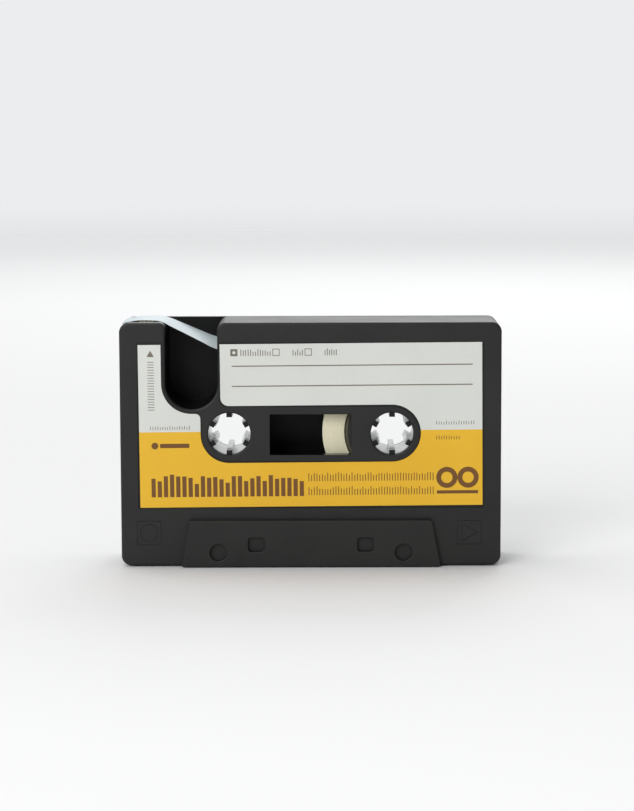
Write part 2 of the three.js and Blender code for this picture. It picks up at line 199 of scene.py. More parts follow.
def turned(name, profile, x, z, segments=64):
    """A profile of (radius, y) turned about an axis along y: a rod if it starts at radius 0, else a tube."""
    solid = profile[0][0] == 0
    rings = profile[1:-1] if solid else profile
    angles = [2 * math.pi * i / segments for i in range(segments)]
    points = [(x + r * math.cos(a), y, z + r * math.sin(a)) for r, y in rings for a in angles]
    count = len(rings)
    pairs = [(k, k + 1) for k in range(count - 1)] + ([] if solid else [(count - 1, 0)])
    faces = []
    for a, b in pairs:
        for i in range(segments):
            j = (i + 1) % segments
            faces.append((a * segments + i, a * segments + j, b * segments + j, b * segments + i))
    if solid:
        points += [(x, profile[0][1], z), (x, profile[-1][1], z)]
        first, last, end = len(points) - 2, len(points) - 1, (count - 1) * segments
        for i in range(segments):
            faces += [(first, i, (i + 1) % segments), (last, end + i, end + (i + 1) % segments)]
    return face_outwards(new_object(name, points, faces))


def eased_tube(name, x, z, bore, r, y0, y1, ease=0.2, segments=64):
    """A tube with its four rims rounded."""
    def rim(radius, y, outward, along):
        return [(radius + outward * ease * (1 - math.sin(t)), y + along * ease * (1 - math.cos(t)))
                for t in (0, math.pi / 4, math.pi / 2)]
    profile = [*rim(bore, y0, 1, 1)[::-1], *rim(r, y0, -1, 1), *rim(r, y1, -1, -1)[::-1], *rim(bore, y1, 1, -1)]
    return turned(name, profile, x, z, segments)


def rod(name, x, z, r, y0, y1, segments=32):
    return turned(name, [(0, y0), (r, y0), (r, y1), (0, y1)], x, z, segments)


def block(name, x0, x1, y0, y1, z0, z1, ease=0.0):
    return slab(name, rectangle(x0, x1, z0, z1, max(ease, 0.05)), y0, y1, ease, ease)


# %% [markdown]
# ## Joining and cutting
# Boolean modifiers add bosses and cut holes. The result is frozen at once and the cutters are thrown away.


# %% Freeze, combine and smooth
def freeze(obj):
    view = bpy.context.evaluated_depsgraph_get()
    view.update()
    made = bpy.data.meshes.new_from_object(obj.evaluated_get(view))
    obj.modifiers.clear()
    obj.data = made
    return obj


def combine(base, *steps):
    """Each step is an operation and its tools, applied in order."""
    used = []
    for operation, tools in steps:
        for tool in tools:
            cut = base.modifiers.new("join", "BOOLEAN")
            cut.operation, cut.solver, cut.object = operation, "MANIFOLD", tool
            used.append(tool)
    freeze(base)
    for tool in used:
        bpy.data.objects.remove(tool)
    return base


def smooth(obj, angle=32):
    """Round surfaces shade smoothly and flat ones stay flat, with creases kept sharp."""
    work = bmesh.new()
    work.from_mesh(obj.data)
    bmesh.ops.dissolve_degenerate(work, dist=1e-7, edges=work.edges)
    work.to_mesh(obj.data)
    work.free()
    obj.data.shade_smooth()
    obj.data.set_sharp_from_angle(angle=math.radians(angle))
    weighted = obj.modifiers.new("weighted", "WEIGHTED_NORMAL")
    weighted.keep_sharp = True
    return freeze(obj)


def paint(obj, *materials):
    obj.data.materials.clear()
    for material in materials:
        obj.data.materials.append(material)


def deliver(obj, body, slot, *nodes):
    """Hand a finished piece to the frame: what it rides on and the CAD nodes that it stands for. slot is not used.
    """
    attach(obj, body)
    if nodes:
        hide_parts(*nodes)
    print(f"{obj.name}: {sum(len(p.vertices) - 2 for p in obj.data.polygons)} triangles on {body}")
    return obj


# %% [markdown]
# ## Node helper
# One function adds any node to a shader or a geometry tree, with its settings and what goes into its inputs.


# %% Add a node, name a colour
def node(tree, kind, inputs=None, **settings):
    new = tree.nodes.new(kind)
    for key, value in settings.items():
        setattr(new, key, value)
    for key, value in (inputs or {}).items():
        if isinstance(value, bpy.types.NodeSocket):
            tree.links.new(value, new.inputs[key])
        else:
            new.inputs[key].default_value = value
    return new


def maths(tree, operation, *values):
    return node(tree, "ShaderNodeMath", dict(enumerate(values)), operation=operation).outputs[0]


def radius(tree, place, across):
    """Distance from an axis, from the directions across it."""
    flat = node(tree, "ShaderNodeVectorMath", {0: place, 1: across}, operation="MULTIPLY").outputs[0]
    return node(tree, "ShaderNodeVectorMath", {0: flat}, operation="LENGTH").outputs["Value"]


def found(tree, kind):
    return next(n for n in tree.nodes if n.type == kind)


def srgb(code):
    channels = [int(code[i:i + 2], 16) / 255 for i in (1, 3, 5)]
    return (*[c / 12.92 if c <= 0.04045 else ((c + 0.055) / 1.055) ** 2.4 for c in channels], 1.0)


# %% [markdown]
# ## Materials
# Every finish here is a base colour that wanders a little, a roughness that wanders too, and a fine relief.
# Noise in object coordinates gives all three, because it needs no unwrapping and stays put in any view. A
# pattern's scale is one over its real size, so `per_mm` turns a size in millimetres into a noise scale. Grain
# finer than about 0.3 mm wouldn't show, so the finest grains are drawn at that size.


# %% One recipe for wandering surfaces
NOISE_LOW, NOISE_HIGH = 0.35, 0.65  # where nearly all values of the noise lie


def per_mm(size):
    return MM / size


def surface(name, dark, light, rough, grain, relief, patch=18.0, metallic=0.0, ior=1.5, stretch=(1, 1, 1)):
    """A material whose colour runs from dark to light over patches and grain; sizes are in millimetres."""
    material = bpy.data.materials.new(name)
    material.use_nodes = True
    tree = material.node_tree
    tree.nodes.clear()
    place = node(tree, "ShaderNodeTexCoord").outputs["Object"]
    place = node(tree, "ShaderNodeMapping", {"Vector": place, "Scale": stretch}).outputs["Vector"]
    patches = node(tree, "ShaderNodeTexNoise", {"Vector": place, "Scale": per_mm(patch), "Detail": 4.0})
    fine = node(tree, "ShaderNodeTexNoise", {"Vector": place, "Scale": per_mm(grain), "Detail": 2.0})
    mixed = node(tree, "ShaderNodeMix", {"Factor": 0.4, 2: patches.outputs["Fac"], 3: fine.outputs["Fac"]})
    ramp = node(tree, "ShaderNodeValToRGB", {"Fac": mixed.outputs[0]})
    low, high = ramp.color_ramp.elements
    low.position, high.position = NOISE_LOW, NOISE_HIGH
    low.color, high.color = srgb(dark), srgb(light)
    worn = node(tree, "ShaderNodeMapRange", {
        "Value": mixed.outputs[0], "From Min": NOISE_LOW, "From Max": NOISE_HIGH,
        "To Min": rough[0], "To Max": rough[1]})
    bump = node(tree, "ShaderNodeBump", {
        "Height": fine.outputs["Fac"], "Strength": 1.0, "Distance": relief / MM})
    shader = node(tree, "ShaderNodeBsdfPrincipled", {
        "Base Color": ramp.outputs["Color"], "Roughness": worn.outputs["Result"],
        "Normal": bump.outputs["Normal"], "Metallic": metallic, "IOR": ior})
    node(tree, "ShaderNodeOutputMaterial", {"Surface": shader.outputs["BSDF"]})
    return material


# %% [markdown]
# The case is black ABS from a spark-eroded mould: an even, fine, matt grain. Mould faces for the window and the hub
# teeth are polished, so the same plastic looks wet there.
# These recessed faces are also given a near-black colour, which is painted shade, and so are all faces inside the
# case.

# %% Black plastics
case_abs = surface("spark_eroded_black_abs", "#141614", "#1e201d", (0.4, 0.52), 0.32, 0.016, ior=1.42)
# Painted shade: a near-black copy of the case plastic for every face inside the case, such as the notch, hub holes
# and cavity walls, where shade falls.
inside_abs_painted_shade = surface("black_abs_painted_shade_inside", "#020302", "#050605", (0.34, 0.46), 1.5, 0.004, ior=1.3)
# Polished for real, but its near-black colour is painted shade for the window's sides and the hub teeth in their
# holes.
polished_abs_painted_shade = surface("polished_black_abs_painted_shade", "#020202", "#050505", (0.16, 0.24), 1.2, 0.002, ior=1.36)
spool_abs = surface("moulded_black_spool_abs", "#101010", "#191918", (0.35, 0.5), 0.5, 0.01)
foot_rubber = surface("black_foot_rubber", "#161616", "#202020", (0.8, 0.95), 0.35, 0.02)

# %% [markdown]
# The label is a printed film: a satin silver-grey upper part and a warm yellow lower part. Ink lies on it as a
# thin matt layer, brown on the yellow and a greyer brown on the silver.

# %% Label film and inks
silver_film = surface("satin_silver_label_film", "#d3d5cf", "#dbddd7", (0.42, 0.52), 0.3, 0.003, 30)
yellow_film = surface("printed_yellow_label_film", "#e5b018", "#ebba24", (0.42, 0.52), 0.3, 0.003, 30)
brown_ink = surface("matt_brown_label_ink", "#6b430f", "#764b14", (0.5, 0.62), 0.3, 0.004)
grey_ink = surface("matt_grey_brown_label_ink", "#6d6658", "#7a7364", (0.5, 0.62), 0.3, 0.004)

# %% [markdown]
# The hub liners are glossy pale grey styrene. The wound tape shows the edges of its turns, the free end is a
# milky matt film, and the roll sits on a wound card core.

# %% Hub, tape and card
hub_styrene = surface("glossy_pale_grey_styrene", "#e0e2e1", "#ebedec", (0.16, 0.26), 2.0, 0.003)
tape_film = surface("milky_matt_tape_film", "#b7c5ca", "#c9d4d8", (0.42, 0.54), 0.6, 0.006, 9)


TINT_LOW, TINT_HIGH = 0.92, 1.06  # how far one turn's shade strays from another's


def ringed(name, dark, light, rough, turn):
    """A wound material: its colour changes with the distance from the roll's axis, one band for each turn."""
    material = surface(name, dark, light, rough, 0.5, 0.01, 12)
    tree = material.node_tree
    shader = found(tree, "BSDF_PRINCIPLED")
    place = node(tree, "ShaderNodeTexCoord").outputs["Object"]
    axis = (HUB_X / MM, 0, (HUB_Z + LIFT) / MM)
    offset = node(tree, "ShaderNodeVectorMath", {0: place, 1: axis}, operation="SUBTRACT")
    scaled = maths(tree, "MULTIPLY", radius(tree, offset.outputs[0], (1, 0, 1)), per_mm(turn))
    bands = node(tree, "ShaderNodeTexNoise", {"W": scaled, "Scale": 1.0, "Detail": 2.0}, noise_dimensions="1D")
    colour = shader.inputs["Base Color"].links[0].from_socket
    tint = node(tree, "ShaderNodeMapRange", {
        "Value": bands.outputs["Fac"], "To Min": TINT_LOW, "To Max": TINT_HIGH})
    shaded = node(tree, "ShaderNodeMix", {"Factor": 1.0, 6: colour, 7: tint.outputs["Result"]},
                  data_type="RGBA", blend_type="MULTIPLY")
    tree.links.new(shaded.outputs[2], shader.inputs["Base Color"])
    return material


wound_tape = ringed("wound_tape_edges", "#e4debc", "#eee9cc", (0.3, 0.42), 0.6)
core_card = ringed("wound_grey_core_card", "#4d4a39", "#67624c", (0.8, 0.92), 0.4)

# %% [markdown]
# The cutter is ground spring steel, with fine lines along its length. The ballast is sawn steel bar under a
# thin oil film, held by bright zinc-plated screws. The tape's landing pad is tan nylon.

# %% Metals and the landing pad
blade_steel = surface("ground_spring_steel", "#8f918f", "#b4b6b3", (0.22, 0.34), 0.4, 0.006, 3, 1.0,
                      stretch=(1, 0.06, 1))
bar_steel = surface("sawn_steel_bar", "#5c5e5f", "#7b7d7e", (0.4, 0.55), 0.6, 0.03, 8, 1.0,
                    stretch=(1, 1, 0.08))
zinc_plate = surface("zinc_plated_steel", "#9c9d99", "#bdbeba", (0.22, 0.34), 0.4, 0.006, 4, 1.0)
pad_nylon = surface("tan_moulded_nylon", "#857a5c", "#988c6c", (0.45, 0.58), 0.35, 0.01, 5)

# %% [markdown]
# ## Geometry Nodes that repeat a shape
# Teeth, ribs, screws and ticks repeat. One tree turns copies about an axis from front to back, the other steps
# copies along a line. Both end in Realize Instances and Set Material. The result is frozen, because an export
# drops instances.


# %% Build the two trees
def geometry_tree(name, **inputs):
    """A tree with named inputs; each is given as its socket type."""
    tree = bpy.data.node_groups.new(name, "GeometryNodeTree")
    for label, kind in inputs.items():
        tree.interface.new_socket(label, in_out="INPUT", socket_type=f"NodeSocket{kind}")
    tree.interface.new_socket("Geometry", in_out="OUTPUT", socket_type="NodeSocketGeometry")
    return tree, node(tree, "NodeGroupInput").outputs


def end_tree(tree, instances, material):
    real = node(tree, "GeometryNodeRealizeInstances", {"Geometry": instances})
    painted = node(tree, "GeometryNodeSetMaterial", {"Geometry": real.outputs[0], "Material": material})
    node(tree, "NodeGroupOutput", {"Geometry": painted.outputs[0]})
    return tree


def round_tree():
    """Copies of an item, turned about an axis along y through Centre."""
    tree, given = geometry_tree("turned_copies", Item="Object", Count="Int", Start="Float", Step="Float",
                                Centre="Vector", Material="Material")
    points = node(tree, "GeometryNodePoints", {"Count": given["Count"], "Position": given["Centre"]})
    index = node(tree, "GeometryNodeInputIndex").outputs[0]
    angle = maths(tree, "MULTIPLY_ADD", index, given["Step"], given["Start"])
    turn = node(tree, "ShaderNodeCombineXYZ", {"Y": angle})
    item = node(tree, "GeometryNodeObjectInfo", {"Object": given["Item"]})
    copies = node(tree, "GeometryNodeInstanceOnPoints", {
        "Points": points.outputs[0], "Instance": item.outputs["Geometry"], "Rotation": turn.outputs[0]})
    return end_tree(tree, copies.outputs[0], given["Material"])


def line_tree():
    """Copies of an item along a line; Spread above 0 gives each copy its own height, down to 1 - Spread."""
    tree, given = geometry_tree("stepped_copies", Item="Object", Count="Int", First="Vector", Step="Vector",
                                Spread="Float", Seed="Int", Material="Material")
    line = node(tree, "GeometryNodeMeshLine", {
        "Count": given["Count"], "Start Location": given["First"], "Offset": given["Step"]})
    least = maths(tree, "SUBTRACT", 1.0, given["Spread"])
    chance = node(tree, "FunctionNodeRandomValue", {2: least, 3: 1.0, "Seed": given["Seed"]})
    size = node(tree, "ShaderNodeCombineXYZ", {"X": 1.0, "Y": 1.0, "Z": chance.outputs[1]})
    item = node(tree, "GeometryNodeObjectInfo", {"Object": given["Item"]})
    copies = node(tree, "GeometryNodeInstanceOnPoints", {
        "Points": line.outputs[0], "Instance": item.outputs["Geometry"], "Scale": size.outputs[0]})
    return end_tree(tree, copies.outputs[0], given["Material"])


TURNED, STEPPED = round_tree(), line_tree()


def grow(name, tree, **values):
    """Run a tree in a modifier, freeze what it makes and drop the item that it copied."""
    obj = new_object(name)
    modifier = obj.modifiers.new("grow", "NODES")
    modifier.node_group = tree
    for socket in tree.interface.items_tree:
        if socket.in_out == "INPUT" and socket.name in values:
            modifier[socket.identifier] = values[socket.name]
    freeze(obj)
    if "Item" in values:
        bpy.data.objects.remove(values["Item"])
    return obj


def at(x, y, z):
    """A point in case millimetres, as a place in the scene."""
    return (x / MM, y / MM, (z + LIFT) / MM)


def item(obj, x=0.0, y=0.0, z=0.0):
    """Move a shape so that the case point (x, y, z) is its origin, ready to be copied."""
    obj.data.transform(Matrix.Translation(-Vector(at(x, y, z))))
    return obj


def turn_copies(name, shape, count, start, step, x, z, material):
    """Copies of a shape about the axis through (x, z); angles are in degrees."""
    return grow(name, TURNED, Item=shape, Count=count, Start=math.radians(start), Step=math.radians(step),
                Centre=at(x, 0, z), Material=material)


def step_copies(name, shape, count, first, step, material, spread=0.0, seed=1):
    """Copies of a shape along a line; first and step are in millimetres."""
    return grow(name, STEPPED, Item=shape, Count=count, First=at(*first), Step=tuple(v / MM for v in step),
                Spread=spread, Seed=seed, Material=material)


# %% [markdown]
# ## Outlines
# The case is a rounded rectangle with a U-shaped finger notch let into its top edge. The label follows the
# notch and leaves a stadium-shaped plateau free for the two hubs and the window.


# %% Case, label, keystone and plateau outlines
def case_outline(inset=0.0):
    w, top, bend = HALF_WIDTH - inset, HEIGHT - inset, NOTCH_R + inset
    r, post, main = (max(size - inset, 0.3) for size in (CORNER, POST_CORNER, MAIN_CORNER))
    return [
        *arc(-w + r, inset + r, r, 180, 270), *arc(w - r, inset + r, r, 270, 360), *arc(w - r, top - r, r, 0, 90),
        *arc(NOTCH_X + bend + main, top - main, main, 90, 180),
        *arc(NOTCH_X, NOTCH_Z, bend, 0, -180, 5),
        *arc(NOTCH_X - bend - post, top - post, post, 0, 90), *arc(-w + r, top - r, r, 90, 180)]


NOTCH_MARGIN, PLATEAU_END, INNER_CORNER = 1.45, 10.55, 3
MAIN_LEFT, MAIN_CORNER_X, NECK_CORNER = -33, -30, 1.8


def label_outline(inset=0.0):
    grow_by = -inset
    bend, round_end = NOTCH_R + NOTCH_MARGIN - grow_by, PLATEAU_END - grow_by
    neck = NOTCH_Z - bend
    left, right = label_low.x - grow_by, label_high.x + grow_by
    low, high = label_low.z - grow_by, label_high.z + grow_by
    return [
        (left, low), (right, low), (right, high), (MAIN_LEFT - grow_by, high),
        *arc(MAIN_CORNER_X - grow_by, HUB_Z + round_end + INNER_CORNER, INNER_CORNER, 180, 270, 15),
        *arc(HUB_X, HUB_Z, round_end, 90, -90), *arc(-HUB_X, HUB_Z, round_end, 270, 180),
        *arc(-HUB_X - round_end - NECK_CORNER, neck - NECK_CORNER, NECK_CORNER, 0, 90, 15),
        *arc(NOTCH_X, NOTCH_Z, bend, 270, 180), (NOTCH_X - bend, high), (left, high)]


def stadium(inset=0.0):
    r = PLATEAU_R - inset
    return [*arc(HUB_X, HUB_Z, r, -90, 90), *arc(-HUB_X, HUB_Z, r, 90, 270)]


keystone_outline = rounded_polygon([
    (-KEYSTONE_HALF, 0), (KEYSTONE_HALF, 0), (KEYSTONE_TOP, KEYSTONE_HEIGHT), (-KEYSTONE_TOP, KEYSTONE_HEIGHT)], 0.5)

# %% [markdown]
# ## Shared mouldings
# Both halves of the case have the same raised keystone with four blind dimples, and the same flared hub holes.


# %% Keystone, dimples, hub holes
def keystone(side):
    """side is -1 for the front and 1 for the back. Returns the raised block, its hollow and its dimples."""
    face, into = side * (BACK + KEYSTONE_PROUD), -side
    raised = loft("keystone", keystone_outline,
                  eased(face, into, KEYSTONE_EDGE) + [(face + into * KEYSTONE_ROOT, 0)])
    hollow = loft("keystone_hollow", lambda inset: keystone_outline(inset + KEYSTONE_WALL),
                  [(face + into * SKIN, 0), (face + into * (KEYSTONE_PROUD + BEYOND), 0)])
    dimples = []
    for hand in (-1, 1):
        x = hand * SQUARE_X
        square = rectangle(x - SQUARE_WIDE, x + SQUARE_WIDE, SQUARE_Z - SQUARE_HIGH, SQUARE_Z + SQUARE_HIGH,
                           SQUARE_CORNER)
        for outline in (circle(hand * DIMPLE_X, DIMPLE_Z, DIMPLE_R), square):
            dimples.append(opening("dimple", outline, face, into, DIMPLE_DEPTH, DIMPLE_FLARE))
    return raised, hollow, dimples


def hub_holes(side, radius):
    """side is -1 for the front and 1 for the back."""
    return [opening("hub_hole", circle(x, HUB_Z, radius, 5), side * BACK, -side, BEYOND, HOLE_FLARE)
            for x in (-HUB_X, HUB_X)]


def hub_rings(y0, y1):
    return [eased_tube("ring", x, HUB_Z, LINER_OUTER + GAP, RING_R, y0, y1) for x in (-HUB_X, HUB_X)]


# %% [markdown]
# ## Front half of the case
# A tray: walls and front face in one moulding, with the label pocket, plateau, window, hub holes and tape slot
# cut or raised on it. The corner marks are engraved: a circle and a triangle in square frames.


# %% Engraved corner marks
def engraved_line(outline):
    """A groove that follows an outline."""
    ring = loft("groove", outline, [(FRONT - 1, 0), (FRONT + GROOVE_DEPTH, 0)])
    core = loft("core", lambda inset: outline(GROOVE_WIDTH), [(FRONT - 2, 0), (FRONT + 1, 0)])
    return combine(ring, ("DIFFERENCE", [core]))


def corner_marks():
    low, high = MARK_Z - MARK_HALF, MARK_Z + MARK_HALF
    frames = [rectangle(x - MARK_HALF, x + MARK_HALF, low, high, 0.2) for x in (MARK_LEFT, MARK_RIGHT)]
    ring = circle(MARK_LEFT, MARK_Z, 3.4)
    arrow = rounded_polygon([(55.4, 8.8), (61.9, MARK_Z), (55.4, 15.8)], 0.2)
    return [engraved_line(outline) for outline in (*frames, ring, arrow)]


# %% Mould the front half
def front_half():
    body = slab("case_front", case_outline, FRONT, SEAM, EDGE, 0.2)
    root = INSIDE_FRONT - 1
    cavity = loft("cavity", lambda inset: case_outline(WALL), [(INSIDE_FRONT, 0), (SEAM + BEYOND, 0)])
    raised, hollow, dimples = keystone(-1)
    plateau = loft("plateau", stadium, eased(FRONT - PLATEAU_PROUD, 1, PLATEAU_PROUD) + [(FRONT + 1, 0)])
    rim = block("rim", -WINDOW_HALF - WINDOW_RIM, WINDOW_HALF + WINDOW_RIM, FRONT + 1, FRONT + WINDOW_DEPTH,
                WINDOW_LOW - WINDOW_RIM, WINDOW_HIGH + WINDOW_RIM)
    towers = [rod("tower", x, z, TOWER_R, root, TOWER_END) for x, z in PEGS]
    bosses = [rod("boss", x, SCREW_Z, BOSS_R, FRONT - 0.5, bar_low.y - GAP) for x in SCREW_XS]
    blade_side, slot_low = blade_high.x + GAP, blade_low.z - GAP
    shelf = block("shelf", -HALF_WIDTH + 1, blade_side + 1.5, root, BACKING_END, slot_low - SHELF, slot_low)
    rib = block("rib", blade_side, blade_side + RIB_THICK, root, BACKING_END, RIB_LOW, HEIGHT - 1)
    pocket = loft("pocket", lambda inset: label_outline(inset - POCKET_GAP),
                  [(FRONT - 1, 0), (FRONT + POCKET, 0)])
    window = opening("window", rectangle(-WINDOW_HALF, WINDOW_HALF, WINDOW_LOW, WINDOW_HIGH, 0.3),
                     FRONT - PLATEAU_PROUD, 1, WINDOW_DEPTH + 1.12, 0.18)
    half_blade = (blade_high.y - blade_low.y) / 2 + GAP
    blade_slot = block("blade_slot", blade_low.x - GAP, blade_side, -half_blade, half_blade,
                       slot_low, HEIGHT + BEYOND)
    pad_pocket = block("pad_pocket", pad_low.x - GAP, pad_high.x + GAP, pad_low.y - GAP, pad_high.y + GAP,
                       pad_low.z - GAP, HEIGHT + BEYOND)
    wall_x = NOTCH_X + NOTCH_R
    tape_slot = block("tape_slot", wall_x - 1, wall_x + WALL + 1, roll_low.y - SLOT_SIDE, SEAM + BEYOND,
                      SLOT_LOW, SLOT_HIGH)
    sockets = [rod("socket", x, z, SOCKET_R, 0, SOCKET_END) for x, z in PEGS]
    pilots = [rod("pilot", x, SCREW_Z, SHANK + GAP, bar_low.y - BITE - GAP, 0) for x in SCREW_XS]
    foot_pockets = []
    for i in range(1, 5):
        low, high = node_box(f"foot_{i}")
        foot_pockets.append(block("foot_pocket", low.x - GAP, high.x + GAP, low.y - GAP, high.y + GAP,
                                  -1, high.z + GAP))
    combine(body, ("DIFFERENCE", [cavity]), ("UNION", [raised]), ("DIFFERENCE", [hollow]),
            ("UNION", [rim, *hub_rings(root, INSIDE_FRONT + RING_HEIGHT), *towers, *bosses, shelf, rib]),
            ("DIFFERENCE", [pocket]), ("UNION", [plateau]),
            ("DIFFERENCE", [window, *hub_holes(-1, HOLE_R), *sockets, *pilots, *dimples, *corner_marks(),
                            blade_slot, pad_pocket, tape_slot, *foot_pockets]))
    return smooth(body)


def finish_case(obj):
    """Eroded outside. Faces inside the case get a near-black copy of the plastic, which is painted shade. The
    window's sides get a polished near-black copy: the polish is real and the dark colour is painted shade.
    """
    paint(obj, case_abs, inside_abs_painted_shade, polished_abs_painted_shade)
    for face in obj.data.polygons:
        x, y, z = (face.center * MM)[:]
        z -= LIFT
        # Painted shade: inside faces and the window's side walls get the near-black copies of the plastic.
        inner = abs(x) < HALF_WIDTH - 0.4 and 0.4 < z < HEIGHT - 0.4 and FRONT + EDGE < y < BACK - EDGE
        window = (abs(x) < WINDOW_HALF + 0.05 and WINDOW_LOW - 0.05 < z < WINDOW_HIGH + 0.05
                  and y < FRONT + WINDOW_DEPTH + 0.05 and abs(face.normal.y) < 0.3)
        face.material_index = 2 if window else 1 if inner else 0


case_front = front_half()
finish_case(case_front)
deliver(case_front, "case", "case_plastic", "front_shell")

# %% [markdown]
# ## Hub teeth
# Six short teeth point into each hub hole. One tooth is made and a tree turns its copies about the hub.


# %% Make a tooth and turn it about both hubs
FIRST_TOOTH = 30  # degrees
HUBS = ("left", -HUB_X), ("right", HUB_X)


def spoke(name, inner, outer, width, y0, y1, ease=0.15):
    """A bar that points away from the axis it will be turned about."""
    return item(block(name, inner, outer, y0, y1, -width / 2, width / 2, ease))


for side, x in HUBS:
    tooth = spoke("tooth", TOOTH_TIP, HOLE_R + 0.2, TOOTH_WIDTH, FRONT + 0.9, FRONT + TOOTH_DEPTH)
    # The teeth take the polished plastic, whose near-black colour is painted shade.
    teeth = turn_copies(f"hub_teeth_{side}", tooth, TEETH, FIRST_TOOTH, 360 / TEETH, x, HUB_Z, polished_abs_painted_shade)
    deliver(smooth(teeth), "case", "case_plastic")

# %% [markdown]
# ## Rear cover
# A flat plate with the same keystone. A lip and four pegs push into the tray, so it pulls straight off. Its
# outer face has a shallow panel.


# %% Mould the rear cover
def rear_half():
    outline = rectangle(-HALF_WIDTH, HALF_WIDTH, 0, HEIGHT, CORNER)
    plate = slab("case_cover", outline, INSIDE_BACK, BACK, 0.2, EDGE)
    inset = WALL + GAP
    lip = loft("lip", lambda i: case_outline(i + inset),
               [(INSIDE_BACK - 1.7, 0.25), (INSIDE_BACK - 1.45, 0), (INSIDE_BACK + 1, 0)])
    lip_core = loft("lip_core", lambda i: case_outline(i + inset + 1.2),
                    [(INSIDE_BACK - 3, 0), (INSIDE_BACK + 2, 0)])
    combine(lip, ("DIFFERENCE", [lip_core]))
    raised, hollow, dimples = keystone(1)
    top = INSIDE_BACK + 1
    pegs = [turned("peg", [(0, 1), (1.0, 1), (PEG_R, 2), (PEG_R, top), (0, top)], x, z, 32) for x, z in PEGS]
    panel_edge = HALF_WIDTH - PANEL_IN
    panel = opening("panel", rectangle(-panel_edge, panel_edge, label_low.z, label_high.z, PANEL_CORNER),
                    BACK, -1, PANEL_DEPTH, 0.2)
    combine(plate, ("UNION", [raised]), ("DIFFERENCE", [hollow]),
            ("UNION", [lip, *hub_rings(INSIDE_BACK - RING_HEIGHT, top), *pegs]),
            ("DIFFERENCE", [panel, *hub_holes(1, LINER_BORE + 0.2), *dimples]))
    return smooth(plate)


case_cover = rear_half()
finish_case(case_cover)
deliver(case_cover, "cover", "case_plastic", "rear_cover")

# %% [markdown]
# ## Hub liners
# A ribbed, pale tube opens each hub right through the case. Its ribs stand in line with the teeth in front.

# %% Turn the liners
for side, x in HUBS:
    sleeve = eased_tube(f"hub_sleeve_{side}", x, HUB_Z, LINER_BORE, LINER_OUTER, liner_low.y, liner_high.y, 0.4, 96)
    rib = spoke("rib", RIB_TIP, LINER_BORE + 0.5, TOOTH_WIDTH, FRONT + TOOTH_DEPTH + GAP, liner_high.y, 0.3)
    ribs = turn_copies("ribs", rib, TEETH, FIRST_TOOTH, 360 / TEETH, x, HUB_Z, hub_styrene)
    smooth(combine(sleeve, ("UNION", [ribs])))
    paint(sleeve, hub_styrene)
    deliver(sleeve, "case", "hub_plastic", f"hub_liner_{side}")

# %% [markdown]
# ## Label
# One die-cut film with two printed grounds. It was stuck on a touch askew, so film and print share one small
# tilt about the label's middle.


# %% Cut, split and tilt the film
def tilt(obj):
    middle = Vector(at(0, 0, (label_low.z + label_high.z) / 2))
    turn = Matrix.Rotation(-math.radians(LABEL_TILT), 4, "Y")
    obj.data.transform(Matrix.Translation(middle) @ turn @ Matrix.Translation(-middle))
    return obj


film = slab("label_film", label_outline, label_low.y, label_high.y)
work = bmesh.new()
work.from_mesh(film.data)
bmesh.ops.triangulate(work, faces=work.faces)
bmesh.ops.bisect_plane(work, geom=[*work.verts, *work.edges, *work.faces],
                       plane_co=at(0, 0, SPLIT_Z), plane_no=(0, 0, 1))
work.to_mesh(film.data)
work.free()
paint(film, silver_film, yellow_film)
for face in film.data.polygons:
    face.material_index = 0 if face.center.z > at(0, 0, SPLIT_Z)[2] else 1
deliver(smooth(tilt(film)), "case", "label_print", "front_label")

# %% [markdown]
# ## Print
# Lettering is left out. In its place are generic marks of the same weight: ruled lines, tick scales, level
# bars, a pair of reels and a triangle. Each row is one tick repeated along a line, as thick as a film of ink.

# %% Print helpers
INK_TOP, INK_BASE = label_low.y - 0.03, label_low.y + 0.02


def ink(outline, hole=None):
    mark = loft("ink", outline, [(INK_TOP, 0), (INK_BASE, 0)])
    if hole:
        combine(mark, ("DIFFERENCE", [loft("hole", hole, [(INK_TOP - 1, 0), (INK_BASE + 1, 0)])]))
    return mark


def inked(name, shapes, material):
    """Join printed shapes into one piece."""
    mesh = bmesh.new()
    for shape in shapes:
        mesh.from_mesh(shape.data)
        bpy.data.objects.remove(shape)
    piece = new_object(name)
    mesh.to_mesh(piece.data)
    mesh.free()
    piece.data.materials.append(material)
    for face in piece.data.polygons:
        face.material_index = 0
    return deliver(tilt(piece), "case", "label_print")


def row(x0, x1, z, height, tick, count, spread=0.0, seed=1):
    """Upright ticks between x0 and x1 that stand on z."""
    mark = item(ink(rectangle(0, tick, 0, height)))
    return step_copies("row", mark, count, (x0, 0, z), ((x1 - x0 - tick) / (count - 1), 0, 0), grey_ink,
                       spread, seed)


def frame_box(x0, x1, z0, z1, line=0.25):
    outline = rectangle(x0, x1, z0, z1)
    return ink(outline, lambda inset: outline(line))


